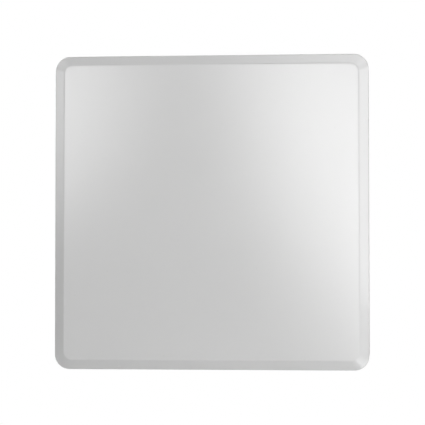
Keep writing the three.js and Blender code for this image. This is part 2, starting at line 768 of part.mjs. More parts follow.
function drivenPatch() {
  const half = DRIVEN_SIZE / 2;
  const past = [drivenRear - CUT_PAST, drivenFront + CUT_PAST];
  return carve(slab(half, half, PATCH_CORNER_RADIUS, drivenRear, drivenFront), [], [
    rod(M3_RADIUS + SHANK_FIT, ...past),
    ...at(square(columnOffset), () => rod(M3_RADIUS + SHANK_FIT, ...past)),
    ...at(probePlaces, () => rod(PROBE_RADIUS + SHANK_FIT, ...past)),
  ]);
}

function directorPatch() {
  const half = DIRECTOR_SIZE / 2;
  const past = [directorRear - CUT_PAST, directorFront + CUT_PAST];
  return carve(slab(half, half, PATCH_CORNER_RADIUS, directorRear, directorFront), [], [
    ...at(square(columnOffset), () => rod(M3_RADIUS + SHANK_FIT, ...past)),
  ]);
}

function spacer(rear, front) {
  return tube(M3_RADIUS + SHANK_FIT, SPACER_RADIUS, rear + SEAT, front - SEAT);
}

// A pan-head screw with its head on the front of what it holds and its end at the given level.
function screwFromFront(seat, end) {
  return panScrew(seat - end).rotateX(Math.PI).translate(0, 0, seat + SEAT);
}

function centerPost() {
  const rear = panFloor - POST_SEAT_DEPTH + SEAT;
  const front = drivenRear - SEAT;
  const bore = M3_RADIUS + SHANK_FIT;
  return turned([
    [0, rear],
    [POST_RADIUS, rear],
    [POST_RADIUS, front],
    [bore, front],
    [bore, front - POST_BORE_DEPTH],
    [0, front - POST_BORE_DEPTH],
  ]);
}

// The inner lead rises from the jack's tail, runs under the driven patch and turns down to the board's input.
function coaxJumper() {
  const top = drivenRear - LEAD_ROOM - LEAD_RADIUS;
  const start = new THREE.Vector3(0, jackY, contactTail + SPIGOT_FIT);
  const end = new THREE.Vector3(0, inputY, traceFront + SPIGOT_FIT);
  const startBend = top - start.z;
  const afterStart = new THREE.Vector3(0, jackY + startBend, top);
  const beforeEnd = new THREE.Vector3(0, inputY - LEAD_BEND, top);
  const path = new THREE.CurvePath();
  path.add(new THREE.QuadraticBezierCurve3(start, new THREE.Vector3(0, jackY, top), afterStart));
  path.add(new THREE.LineCurve3(afterStart, beforeEnd));
  path.add(new THREE.QuadraticBezierCurve3(beforeEnd, new THREE.Vector3(0, inputY, top), end));
  const section = new THREE.Shape();
  section.absarc(0, 0, LEAD_RADIUS, 0, 2 * Math.PI);
  return new THREE.ExtrudeGeometry(section, {
    steps: LEAD_STEPS,
    extrudePath: path,
    curveSegments: LEAD_SIDES / 2,
  });
}

// ---- Finishes: colour, roughness and metalness ----
const finishes = {
  moulding: [0xe8e8e5, 0.28, 0],
  aluminium: [0xc9cbcc, 0.42, 1],
  steel: [0xb4b6b8, 0.35, 1],
  nickel: [0xcfcac0, 0.28, 1],
  gold: [0xd8b35a, 0.3, 1],
  copper: [0xc07a4a, 0.35, 1],
  laminate: [0x3f7a4a, 0.55, 0],
  resistor: [0x26262a, 0.5, 0],
  nylon: [0xeceae2, 0.5, 0],
  fluoropolymer: [0xf4f4f0, 0.45, 0],
  seal: [0x2c2c2e, 0.8, 0],
  blackPlastic: [0x232325, 0.5, 0],
  redPlastic: [0xb9352c, 0.5, 0],
  leadJacket: [0xc8a878, 0.4, 1],
  label: [0xf1f1ee, 0.45, 0],
};

// ---- Assembly ----
const panel = new THREE.Group();

function place(name, geometry, finish, x = 0, y = 0) {
  const [color, roughness, metalness] = finishes[finish];
  const material = new THREE.MeshStandardMaterial({ color, roughness, metalness });
  const mesh = new THREE.Mesh(geometry, material);
  mesh.name = name;
  mesh.position.set(x, y, 0);
  panel.add(mesh);
}

function placeEach(name, places, make, finish) {
  places.forEach(([x, y], i) => place(`${name}_${i + 1}`, make(), finish, x, y));
}

place("radome", radome(), "moulding");
place("back_plate", backPlate(), "aluminium");
place("rim_gasket", rimGasket(), "seal");
placeEach("cover_screw", coverScrewPlaces().map(({ x, y }) => [x, y]), coverScrew, "steel");

placeEach("mounting_stud", square(STUD_SPACING / 2), mountingStud, "steel");
place("rating_label", ratingLabel(), "label", 0, stripMiddle);
place("vent_plug", ventPlug(), "blackPlastic", ...ventPlace);
place("ground_screw", groundScrew(), "steel", ...groundPlace);

place("jack_body", jackBody(), "nickel", 0, jackY);
place("jack_insulator", jackInsulator(), "fluoropolymer", 0, jackY);
place("jack_contact", jackContact(), "gold", 0, jackY);
place("jack_gasket", jackGasket(), "seal", 0, jackY);
placeEach("jack_screw", flangeHoles, jackScrew, "steel");
place("dust_cap", dustCap(), "redPlastic", 0, jackY);
place("coax_jumper", coaxJumper(), "leadJacket");

place("feed_board", feedBoard(), "laminate");
place("hybrid_trace", hybridTrace(), "copper");
place("load_resistor", loadResistor(), "resistor");
placeEach("feed_probe", probePlaces, feedProbe, "copper");
place("driven_patch", drivenPatch(), "aluminium");
place("director_patch", directorPatch(), "aluminium");
placeEach("lower_spacer", square(columnOffset), () => spacer(boardFront, drivenRear), "nylon");
placeEach("upper_spacer", square(columnOffset), () => spacer(drivenFront, directorRear), "nylon");
placeEach(
  "stack_screw",
  square(columnOffset),
  () => screwFromFront(directorFront, padRear + SEAT_METAL + SHANK_FIT),
  "nylon",
);
place("center_post", centerPost(), "aluminium");
place(
  "center_screw",
  screwFromFront(drivenFront, drivenRear - POST_BORE_DEPTH + SHANK_FIT),
  "steel",
);

// The panel frame's z faces front; the part's own +Z is up, with the front facing -Y.
panel.rotation.x = Math.PI / 2;
const antenna = new THREE.Group();
antenna.add(panel);
export default antenna;
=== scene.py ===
import math

import bpy
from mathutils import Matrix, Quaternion, Vector


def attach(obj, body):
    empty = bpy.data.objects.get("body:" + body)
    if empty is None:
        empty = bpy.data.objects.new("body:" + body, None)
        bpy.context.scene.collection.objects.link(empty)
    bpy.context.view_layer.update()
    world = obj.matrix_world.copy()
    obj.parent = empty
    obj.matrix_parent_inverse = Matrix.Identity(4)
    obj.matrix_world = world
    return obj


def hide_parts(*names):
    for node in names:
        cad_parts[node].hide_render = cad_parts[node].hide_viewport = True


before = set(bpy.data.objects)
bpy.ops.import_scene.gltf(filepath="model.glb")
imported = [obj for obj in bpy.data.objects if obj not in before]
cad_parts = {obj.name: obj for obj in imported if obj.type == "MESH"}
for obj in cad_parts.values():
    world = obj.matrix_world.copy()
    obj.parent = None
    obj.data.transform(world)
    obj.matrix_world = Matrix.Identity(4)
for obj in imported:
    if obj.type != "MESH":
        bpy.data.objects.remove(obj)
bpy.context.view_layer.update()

# ---- Sizes in millimetres, those of the CAD model unless noted ----
MM = 0.001
HALF = 259 / 2
DEPTH = 33.5
GAP = 0.05  # between pieces that touch
SINK = 0.4  # how far one body of a piece goes into the next

# Radome. Both corner radii are about 1 mm larger than the CAD model's.
CORNER = 13
FACE_CORNER = 7
BEVEL_WIDTH = 7.9
BEVEL_DEPTH = 4.2
DRAFT = math.tan(math.radians(1.5))
SIDE_WALL = 3.6
FACE_WALL = 3
RIM_LIP = 1.5
RIM_REAR = 0.3
LEDGE = 4.8
EDGE_SOFTNESS = 0.9
BOSS_RADIUS = 3.6
BOSS_BORE = 1.7
BOSS_BORE_DEPTH = 12
RIB_HALF = 1.2
RIB_INSET = 3
RIB_REACH = 6.3

# Back plate, with its z levels from the pad's rear face
PLATE_REAR = 0.8
PLATE_FRONT = 3.3
PLATE_INSET = 1.8
PAN_FLOOR = 2.5
PAD_HALF = 66
PAD_CORNER = 8
PAD_SLOPE = 1.2
CUT_REAR = -1
CUT_FRONT = 5

# Fittings on the plate
STUD_OFFSET = 50
STUD_RADIUS = 2.5
STUD_END = -16
STUD_HEAD = 4
SCREW_OFFSET = 120
SCREW_HALF_SPACING = 75
STRIP = 91.8
SIDE_FITTING = 52
LABEL_HALF = (38, 12)
VENT_RADIUS = 8.5
VENT_BODY = 5.8
VENT_NOTCHES = 8
HEX_ACROSS_CORNERS = 8

# Coaxial jack and its cap
FLANGE_HALF = 12.7
FLANGE_HOLE = 9.13
FLANGE_SCREW = 1.7
FLANGE_REAR = -3.1
FLANGE_FRONT = -0.1
BARREL = 7.94
BARREL_END = -16.1
BARREL_PITCH = 25.4 / 24
SOCKET = 4.2
SOCKET_FLOOR = -7.1
SPIGOT = 6
SPIGOT_END = 4.8
INSULATOR = 3.4
CONTACT = 1.5
CAP_RADIUS = 9.69
CAP_BORE = 8.19
CAP_REAR = -18.1
CAP_MOUTH = -5.35
CAP_RIBS = 24

# ---- Fineness ----
CORNER_STEPS = 20
SIDES = 48
THREAD_SIDES = 32
THREAD_STEPS = 8
LARGEST_CURVE = 0.45  # of the stretch beside it

# ---- Finishes: shares of full tone or roughness, and noise scales per metre ----
MOULD_TONE = 0.66
MOULD_ROUGH = 0.12
MOULD_GRAIN = 1400.0
MOULD_IOR = 1.58
HANDLING_SCALE = 14.0
SPECK_SCALE = 16.0
PATCH_LIMITS = (0.35, 0.7)
MIX_LIMITS = (0.3, 0.7)
FITTING_PATCHES = 120.0

# The label's ruled frame and column, in metres
LABEL_FRAME = (0.0355, 0.0095)
LABEL_COLUMN = -0.012
LABEL_LINE = 0.00022


def row(x, y, z):
    """A point of the panel frame, in the row frame and in metres."""
    return Vector((x * MM, -z * MM, y * MM))


# ---- Outlines: lists of points, anticlockwise seen from the front ----


def square_ring(half, radius, z, half_y=None):
    """A rounded square, or a rounded rectangle if half_y is given."""
    half_y = half if half_y is None else half_y
    points = []
    for quarter in range(4):
        right = 1 if quarter in (0, 3) else -1
        top = 1 if quarter in (0, 1) else -1
        for i in range(CORNER_STEPS + 1):
            angle = (quarter + i / CORNER_STEPS) * math.pi / 2
            x = right * (half - radius) + radius * math.cos(angle)
            y = top * (half_y - radius) + radius * math.sin(angle)
            points.append((x, y, z))
    return points


def round_ring(radius, z, sides=SIDES):
    """A circle, or a closed curve if radius is a function of the angle."""
    points = []
    for i in range(sides):
        angle = 2 * math.pi * i / sides
        r = radius(angle) if callable(radius) else radius
        points.append((r * math.cos(angle), r * math.sin(angle), z))
    return points


def cross_ring(reach, half, z):
    """A cross, from the reach and the half width of its arms."""
    points = []
    arm = [(reach, -half), (reach, half), (half, half)]
    for _ in range(4):
        points += [(x, y, z) for x, y in arm]
        arm = [(-y, x) for x, y in arm]
    return points


def softened(stations, reach, steps=3, closed=False):
    """The stations of a profile, with each inner one replaced by a short curve."""
    path = [Vector(s) for s in stations]
    inner = range(len(path)) if closed else range(1, len(path) - 1)
    out = [] if closed else [path[0]]
    for i in inner:
        here, before, after = path[i], path[i - 1], path[(i + 1) % len(path)]
        start = here + (before - here) * min(LARGEST_CURVE, reach / (before - here).length)
        end = here + (after - here) * min(LARGEST_CURVE, reach / (after - here).length)
        for k in range(steps + 1):
            t = k / steps
            out.append(start * (1 - t) ** 2 + here * 2 * t * (1 - t) + end * t**2)
    return out if closed else [*out, path[-1]]


# ---- Skins: closed surfaces as points and faces ----


class Skin:
    """Points and faces of one or more closed bodies, gathered step by step."""

    def __init__(self):
        self.points = []
        self.faces = []

    def loft(self, rings, closed=False, shift=(0, 0, 0)):
        """Joins rings of equally many points. An open loft gets a flat cap at each end."""
        start, count = len(self.points), len(rings[0])
        for ring in rings:
            self.points += [(x + shift[0], y + shift[1], z + shift[2]) for x, y, z in ring]
        for r in range(len(rings) if closed else len(rings) - 1):
            low, high = start + r * count, start + (r + 1) % len(rings) * count
            for i in range(count):
                j = (i + 1) % count
                self.faces.append((low + i, low + j, high + j, high + i))
        if not closed:
            last = start + (len(rings) - 1) * count
            self.faces.append([start + i for i in reversed(range(count))])
            self.faces.append([last + i for i in range(count)])
        return self

    def turn(self, profile, closed=False, sides=SIDES, place=(0, 0)):
        """Turns a profile of radii and levels about the z axis."""
        rings = [round_ring(r, z, sides) for r, z in profile]
        return self.loft(rings, closed, (place[0], place[1], 0))

    def block(self, x, y, z):
        """A box from three pairs of limits."""
        corners = [(x[1], y[0]), (x[1], y[1]), (x[0], y[1]), (x[0], y[0])]
        return self.loft([[(a, b, c) for a, b in corners] for c in z])


def mesh_of(name, skin):
    mesh = bpy.data.meshes.new(name)
    mesh.from_pydata([row(*p) for p in skin.points], [], skin.faces)
    mesh.validate()
    return mesh


def placed(name, mesh, place=(0, 0, 0)):
    obj = bpy.data.objects.new(name, mesh)
    bpy.context.scene.collection.objects.link(obj)
    obj.location = row(*place)
    return obj


def cut(mesh, cutter):
    """The mesh with a skin's closed bodies cut out of it."""
    target, tool = placed("target", mesh), placed("tool", mesh_of("tool", cutter))
    step = target.modifiers.new("cut", "BOOLEAN")
    step.operation, step.solver, step.object = "DIFFERENCE", "EXACT", tool
    ready = target.evaluated_get(bpy.context.evaluated_depsgraph_get())
    result = bpy.data.meshes.new_from_object(ready)
    result.name = mesh.name
    for used in (target, tool):
        bpy.data.objects.remove(used)
    return result


def finished(mesh, look, crease=35):
    """Smooth shading that keeps edges over the crease angle, and the finish."""
    mesh.materials.clear()
    mesh.materials.append(look)
    mesh.shade_smooth()
    mesh.set_sharp_from_angle(angle=math.radians(crease))
    return mesh


def show(name, mesh, nodes=(), place=(0, 0, 0), body="panel"):
    """Puts a piece in the scene, on its body, in place of the CAD nodes named."""
    obj = placed(name, mesh, place)
    even = obj.modifiers.new("even normals", "WEIGHTED_NORMAL")
    even.keep_sharp = True
    even.weight = 100
    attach(obj, body)
    if nodes:
        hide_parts(*nodes)
    return obj


# ---- Finishes ----


class Finish:
    """A Principled material with helpers for its procedural detail."""

    def __init__(self, name, **sockets):
        self.material = bpy.data.materials.new(name)
        self.material.use_nodes = True
        self.tree = self.material.node_tree
        self.shader = self.tree.nodes["Principled BSDF"]
        for socket, value in sockets.items():
            self.shader.inputs[socket.replace("_", " ")].default_value = value
        self.object = self.node("ShaderNodeTexCoord").outputs["Object"]

    def node(self, kind, inputs=None, **settings):
        made = self.tree.nodes.new(kind)
        for key, value in settings.items():
            setattr(made, key, value)
        for socket, value in (inputs or {}).items():
            if isinstance(value, bpy.types.NodeSocket):
                self.tree.links.new(value, made.inputs[socket])
            else:
                made.inputs[socket].default_value = value
        return made

    def stretched(self, scale):
        return self.node("ShaderNodeMapping", {"Vector": self.object, "Scale": scale}).outputs["Vector"]

    def noise(self, scale, detail=3.0, vector=None):
        inputs = {"Vector": vector or self.object, "Scale": scale, "Detail": detail}
        return self.node("ShaderNodeTexNoise", inputs).outputs["Fac"]

    def ranged(self, value, low, high, to_low=0.0, to_high=1.0):
        inputs = {"Value": value, "From Min": low, "From Max": high, "To Min": to_low, "To Max": to_high}
        return self.node("ShaderNodeMapRange", inputs, interpolation_type="SMOOTHSTEP").outputs["Result"]

    def math(self, operation, a, b):
        return self.node("ShaderNodeMath", {0: a, 1: b}, operation=operation).outputs[0]

    def mixed(self, factor, a, b):
        """One colour going over to another."""
        made = self.node("ShaderNodeMix", data_type="RGBA")
        made.inputs[0].default_value = 0
        self.tree.links.new(factor, made.inputs[0])
        for index, value in ((6, a), (7, b)):
            if isinstance(value, bpy.types.NodeSocket):
                self.tree.links.new(value, made.inputs[index])
            else:
                made.inputs[index].default_value = (*value, 1)
        return made.outputs[2]

    def drive(self, socket, value):
        self.tree.links.new(value, self.shader.inputs[socket])

    def bump(self, height, strength, distance, under=None):
        inputs = {"Height": height, "Strength": strength, "Distance": distance}
        if under:
            inputs["Normal"] = under
        return self.node("ShaderNodeBump", inputs).outputs["Normal"]


def plain_finish(name, clean, worn, rough, grain, height, patch=30.0, **sockets):
    """Soft patches of wear in the colour and the roughness, and a fine grain in the surface."""
    made = Finish(name, **sockets)
    fine = made.noise(grain, 3.0)
    patches = made.noise(patch, 4.0)
    made.drive("Base Color", made.mixed(made.ranged(patches, *PATCH_LIMITS), clean, worn))
    uneven = made.math("ADD", made.math("MULTIPLY", patches, 0.6), made.math("MULTIPLY", fine, 0.4))
    made.drive("Roughness", made.ranged(uneven, *MIX_LIMITS, *rough))
    made.drive("Normal", made.bump(fine, 0.6, height))
    return made


def grey(value):
    return (value, value, value)


def moulding_finish():
    """Satin moulded plastic: a fine eroded grain, faint handling marks and a few specks in the resin."""
    made = Finish("moulding_satin", IOR=MOULD_IOR)
    grain = made.noise(MOULD_GRAIN, 2.0)
    handling = made.noise(HANDLING_SCALE, 4.0)
    across = made.node("ShaderNodeSeparateXYZ", {"Vector": made.object}).outputs
    flat = made.node("ShaderNodeCombineXYZ", {"X": across["X"], "Y": across["Z"]}).outputs["Vector"]
    speck = made.node(
        "ShaderNodeTexVoronoi",
        {"Vector": flat, "Scale": SPECK_SCALE},
        voronoi_dimensions="2D",
    ).outputs["Distance"]
    specked = made.ranged(speck, 0.002, 0.009)
    handled = made.ranged(handling, *MIX_LIMITS)
    tint = made.mixed(handled, grey(MOULD_TONE * 0.992), grey(MOULD_TONE))
    made.drive("Base Color", made.mixed(specked, grey(MOULD_TONE * 0.9), tint))
    rough = (MOULD_ROUGH * 0.94, MOULD_ROUGH * 1.06)
    made.drive("Roughness", made.ranged(handling, *MIX_LIMITS, *rough))
    made.drive("Normal", made.bump(grain, 0.35, 0.00001))
    return made.material


def brushed_finish(name, clean, worn, rough, stretch):
    """Sheet metal brushed one way, with a few longer scratches and duller handled patches."""
    made = Finish(name, Metallic=1.0)
    lines = made.noise(26.0, 5.0, made.stretched(stretch))
    patches = made.noise(16.0, 4.0)
    stray = made.noise(9.0, 2.0, made.stretched((90, 90, 6)))
    scratched = made.ranged(stray, 0.71, 0.74)
    tint = made.mixed(made.ranged(patches, *PATCH_LIMITS), clean, worn)
    dark, light = tuple(c * 0.82 for c in worn), tuple(min(1, c * 1.12) for c in clean)
    streaked = made.mixed(made.ranged(lines, 0.3, 0.75), tint, dark)
    made.drive("Base Color", made.mixed(scratched, streaked, light))
    uneven = made.math("ADD", made.math("MULTIPLY", patches, 0.5), made.math("MULTIPLY", lines, 0.5))
    made.drive("Roughness", made.ranged(uneven, *MIX_LIMITS, *rough))
    made.drive("Normal", made.bump(lines, 0.4, 0.00005))
    return made.material


def label_finish():
    """White film with a printed frame and ruled fields, and nothing written in them."""
    made = Finish("label_film", Specular_IOR_Level=0.4)
    parts = made.node("ShaderNodeSeparateXYZ", {"Vector": made.object}).outputs
    x, z = parts["X"], parts["Z"]
    wide, tall = LABEL_FRAME

    def within(value, limit):
        return made.math("LESS_THAN", made.math("ABSOLUTE", value, 0.0), limit)

    def rule(value, at):
        return within(made.math("SUBTRACT", value, at), LABEL_LINE)

    inside_x, inside_z = within(x, wide + LABEL_LINE), within(z, tall + LABEL_LINE)
    inside = made.math("MULTIPLY", inside_x, inside_z)
    ink = made.math("MULTIPLY", rule(made.math("ABSOLUTE", x, 0.0), wide), inside_z)
    lines = [rule(z, at) for at in (tall, -tall, tall / 3, -tall / 3)]
    for line in [*lines, rule(x, LABEL_COLUMN)]:
        ink = made.math("MAXIMUM", ink, made.math("MULTIPLY", line, inside))
    patches = made.noise(60.0, 4.0)
    film = made.mixed(made.ranged(patches, *PATCH_LIMITS), (0.86, 0.86, 0.84), (0.8, 0.8, 0.77))
    made.drive("Base Color", made.mixed(ink, film, (0.1, 0.1, 0.11)))
    made.drive("Roughness", made.ranged(patches, *MIX_LIMITS, 0.32, 0.5))
    made.drive("Normal", made.bump(made.noise(900.0), 0.3, 0.00002))
    return made.material


LOOKS = {
    "moulding": moulding_finish(),
    "plate_aluminium": brushed_finish(
        "plate_brushed", (0.62, 0.63, 0.64), (0.54, 0.55, 0.56), (0.32, 0.46), (1, 1, 40)
    ),
    "patch_aluminium": brushed_finish("patch_sheet", grey(0.7), grey(0.62), (0.28, 0.42), (40, 1, 1)),
    "label_film": label_finish(),
}
METAL = {"Metallic": 1.0}
# Slot, clean and worn colour, limits of roughness, scale of the grain, its height in metres, and other sockets
PLAIN_LOOKS = (
    ("fastener_steel", (0.5, 0.5, 0.51), (0.38, 0.38, 0.38), (0.2, 0.36), 1800, 2e-5, METAL),
    ("jack_plating", (0.66, 0.64, 0.6), (0.54, 0.52, 0.48), (0.16, 0.3), 1500, 1e-5, METAL),
    ("contact_plating", (0.85, 0.68, 0.32), (0.75, 0.57, 0.26), (0.18, 0.32), 1800, 1e-5, METAL),
    ("copper", (0.76, 0.46, 0.28), (0.58, 0.33, 0.2), (0.25, 0.42), 1500, 1e-5, METAL),
    ("lead_copper", (0.76, 0.6, 0.42), (0.64, 0.5, 0.35), (0.25, 0.4), 1500, 1e-5, METAL),
    ("laminate", (0.05, 0.13, 0.07), (0.04, 0.1, 0.06), (0.3, 0.5), 700, 2e-5, {}),
    ("resistor_ceramic", grey(0.02), grey(0.035), (0.2, 0.35), 1500, 1e-5, {}),
    ("nylon", (0.76, 0.74, 0.66), (0.7, 0.67, 0.58), (0.35, 0.55), 700, 2e-5, {}),
    ("fluoropolymer", (0.86, 0.86, 0.83), (0.8, 0.8, 0.76), (0.3, 0.48), 900, 2e-5, {}),
    ("seal_rubber", grey(0.02), grey(0.035), (0.55, 0.8), 900, 3e-5, {}),
    ("black_plastic", grey(0.025), grey(0.045), (0.35, 0.6), 1300, 4e-5, {}),
    ("cap_plastic", (0.42, 0.02, 0.014), (0.34, 0.022, 0.016), (0.3, 0.5), 800, 3e-5, {}),
)
for slot, clean, worn, rough, grain, height, sockets in PLAIN_LOOKS:
    name = slot + "_finish"
    made = plain_finish(name, clean, worn, rough, grain, height, FITTING_PATCHES, **sockets)
    LOOKS[slot] = made.material


# ---- Radome ----


def screw_places():
    """The eight cover screws, each with the direction towards the nearest side wall."""
    places = []
    for side in (-1, 1):
        for along in (-SCREW_HALF_SPACING, SCREW_HALF_SPACING):
            places.append((side * SCREW_OFFSET, along, side, 0))
            places.append((along, side * SCREW_OFFSET, 0, side))
    return places


def boss_rib(at, out):
    """The limits of a boss's rib along one axis: to the side wall, or its thickness."""
    if not out:
        return at - RIB_HALF, at + RIB_HALF
    return sorted((at + RIB_INSET * out, (SCREW_OFFSET + RIB_REACH) * out))


def radome():
    """The moulded shell, from the inside over the rim to the face, and its bosses and ribs."""
    drafted = (DEPTH - BEVEL_DEPTH - RIM_REAR) * DRAFT
    front = drafted + BEVEL_WIDTH
    face_inside = DEPTH - FACE_WALL
    inner_rear = face_inside - BEVEL_DEPTH
    wall = SIDE_WALL + (inner_rear - LEDGE) * DRAFT
    flat = 3  # how far in from the bevel the flats get a ring of their own
    rim_inside = (RIM_LIP, RIM_REAR + 0.4, CORNER - RIM_LIP)
    side = (0.25, RIM_REAR + 8, CORNER - 0.25)
    inside = [
        (wall + BEVEL_WIDTH + flat, face_inside, 1),
        (wall + BEVEL_WIDTH, face_inside, 3),
        (wall, inner_rear, CORNER - wall),
        (SIDE_WALL, LEDGE, CORNER - SIDE_WALL),
        (RIM_LIP, LEDGE, CORNER - RIM_LIP),
        rim_inside,
    ]
    outside = [
        rim_inside,
        (RIM_LIP, RIM_REAR, CORNER - RIM_LIP),
        (0, RIM_REAR, CORNER),
        side,
    ]
    bevel = [
        side,
        (drafted, DEPTH - BEVEL_DEPTH, CORNER - drafted),
        (front, DEPTH, FACE_CORNER),
        (front + flat, DEPTH, FACE_CORNER - flat),
    ]
    stations = softened(inside, 0.5) + softened(outside, 0.35)[1:] + softened(bevel, EDGE_SOFTNESS, 6)[1:]
    skin = Skin().loft([square_ring(HALF - inset, radius, z) for inset, z, radius in stations])
    boss = [
        (BOSS_BORE, PLATE_FRONT + BOSS_BORE_DEPTH),
        (BOSS_BORE, PLATE_FRONT + GAP),
        (BOSS_RADIUS, PLATE_FRONT + GAP),
        (BOSS_RADIUS, face_inside + SINK),
    ]
    for x, y, out_x, out_y in screw_places():
        skin.turn(softened(boss, 0.3), place=(x, y), sides=24)
        skin.block(boss_rib(x, out_x), boss_rib(y, out_y), (LEDGE + SINK, face_inside + SINK))
    return finished(mesh_of("radome_shell", skin), LOOKS["moulding"])


show("radome_shell", radome(), ["radome"])

# ---- Back plate ----


def round_cutter(skin, x, y, radius, rear=CUT_REAR, front=CUT_FRONT):
    return skin.turn([(radius, rear), (radius, front)], place=(x, y), sides=SIDES)


def square_of(offset):
    """Four places at equal offsets, in turn round the middle."""
    return [(offset, offset), (-offset, offset), (-offset, -offset), (offset, -offset)]


def back_plate():
    """Sheet with a pressed mounting pad, and the holes for everything that passes through it."""
    edge = HALF - PLATE_INSET
    blend = 3  # how far the flats go on past a bend with a corner radius of their own
    rear_flat = (edge - 14, CORNER - PLATE_INSET - blend, PLATE_REAR)
    front_flat = (PAD_HALF + blend, PAD_CORNER + PAD_SLOPE + blend, PLATE_FRONT)
    pad = [
        (PAD_HALF - blend, PAD_CORNER - blend, 0),
        (PAD_HALF, PAD_CORNER, 0),
        (PAD_HALF + PAD_SLOPE, PAD_CORNER + PAD_SLOPE, PLATE_REAR),
        rear_flat,
    ]
    rim = [
        rear_flat,
        (edge, CORNER - PLATE_INSET, PLATE_REAR),
        (edge, CORNER - PLATE_INSET, PLATE_FRONT),
        front_flat,
    ]
    pan = [
        front_flat,
        (PAD_HALF, PAD_CORNER + PAD_SLOPE, PLATE_FRONT),
        (PAD_HALF - PAD_SLOPE, PAD_CORNER, PAN_FLOOR),
        (PAD_HALF - PAD_SLOPE - blend, PAD_CORNER - blend, PAN_FLOOR),
    ]
    path = softened(pad, 0.6) + softened(rim, 0.3)[1:] + softened(pan, 0.6)[1:]
    sheet = Skin().loft([square_ring(half, radius, z) for half, radius, z in path])
    countersink = [(3.1, CUT_REAR), (3.1, 0.85), (1.7, 2.35), (1.7, CUT_FRONT)]
    stud_seat = [(2.7, CUT_REAR), (2.7, 1.2), (4.2, 1.2), (4.2, CUT_FRONT)]
    holes = Skin()
    for x, y, _, _ in screw_places():
        holes.turn(countersink, place=(x, y))
    for x, y in square_of(STUD_OFFSET):
        holes.turn(stud_seat, place=(x, y))
    for x, y in square_of(FLANGE_HOLE):
        round_cutter(holes, x, y - STRIP, FLANGE_SCREW)
    round_cutter(holes, 0, -STRIP, SPIGOT + 0.3)
    round_cutter(holes, SIDE_FITTING, -STRIP, VENT_BODY + 0.3)
    round_cutter(holes, -SIDE_FITTING, -STRIP, 2.2)
    return finished(cut(mesh_of("back_plate_sheet", sheet), holes), LOOKS["plate_aluminium"], 25)


show("back_plate_sheet", back_plate(), ["back_plate"])

# ---- Screws, studs and other fittings ----


def threaded(crest, depth, pitch, start, end, runout=0.6):
    """Rings of a screw thread, fading out at both ends."""
    rings = []
    count = round((end - start) / pitch * THREAD_STEPS)
    for k in range(count + 1):
        z = start + (end - start) * k / count

        def radius(angle, z=z):
            turn = (z / pitch - angle / (2 * math.pi)) % 1
            wave = min(1, max(0, (abs(2 * turn - 1) - 0.12) / 0.76))
            fade = min(1, (z - start) / runout, (end - z) / runout)
            return crest - depth * wave * max(0, fade)

        rings.append(round_ring(radius, z, THREAD_SIDES))
    return rings


def plain_rings(profile):
    """Rings that join up with those of a thread."""
    return [round_ring(r, z, THREAD_SIDES) for r, z in profile]


def driven(mesh, recess):
    """A screw with its cross recess cut in, given as the rings of a loft."""
    return finished(cut(mesh, Skin().loft(recess)), LOOKS["fastener_steel"])


def cover_screw():
    """A countersunk screw, from its head's face at 0 forwards."""
    profile = [(2.7, 0), (2.9, 0.15), (1.5, 1.5), (1.5, 8.5), (0.8, 10)]
    recess = [cross_ring(1.75, 0.34, -0.5), cross_ring(1.5, 0.32, 0.2), cross_ring(0.5, 0.22, 1.1)]
    return driven(mesh_of("cover_screw_head", Skin().turn(profile)), recess)


def pan_screw():
    """A pan-head screw, with its head behind 0 and its shank in front."""
    head = [(1.2, -1.8), (2.1, -1.75), (2.8, -1.0), (2.8, 0)]
    shank = [(1.5, 0), (1.5, 7.6), (1.0, 8)]
    recess = [cross_ring(1.6, 0.34, -2.4), cross_ring(1.4, 0.32, -1.5), cross_ring(0.5, 0.22, -0.5)]
    return driven(mesh_of("pan_screw", Skin().turn(softened(head + shank, 0.3))), recess)


def stud():
    """A clinched stud, threaded up to the pad and with its round head flush in the pan."""
    tip = plain_rings([(1.7, STUD_END), (1.9, STUD_END), (STUD_RADIUS - 0.05, STUD_END + 0.5)])
    shank = threaded(STUD_RADIUS, 0.45, 0.8, STUD_END + 0.6, -1.4)
    seat = [(STUD_RADIUS, -1.2), (STUD_RADIUS, 1.25), (STUD_HEAD, 1.25), (STUD_HEAD, PAN_FLOOR - GAP)]
    skin = Skin().loft(tip + shank + plain_rings(softened(seat, 0.15)))
    return finished(mesh_of("stud", skin), LOOKS["fastener_steel"], 50)


shared = cover_screw()
for number, (x, y, _, _) in enumerate(screw_places(), 1):
    place = (x, y, PLATE_REAR + GAP)
    show(f"cover_screw_head_{number}", shared, [f"cover_screw_{number}"], place)
shared = stud()
for number, (x, y) in enumerate(square_of(STUD_OFFSET), 1):
    show(f"threaded_stud_{number}", shared, [f"mounting_stud_{number}"], (x, y, 0))
shared = pan_screw()
for number, (x, y) in enumerate(square_of(FLANGE_HOLE), 1):
    place = (x, y - STRIP, FLANGE_REAR - GAP)
    show(f"flange_screw_{number}", shared, [f"jack_screw_{number}"], place)


def label():
    """A thin film with rounded corners."""
    half, tall = LABEL_HALF
    rear, front = -0.35, -GAP
    edge = [(half - 1, 1, rear), (half, 2, rear), (half, 2, front), (half - 1, 1, front)]
    rings = [square_ring(h, r, z, h - half + tall) for h, r, z in softened(edge, 0.08, 2)]
    return finished(mesh_of("label_film", Skin().loft(rings)), LOOKS["label_film"])


show("blank_label", label(), ["rating_label"], (0, STRIP, PLATE_REAR))


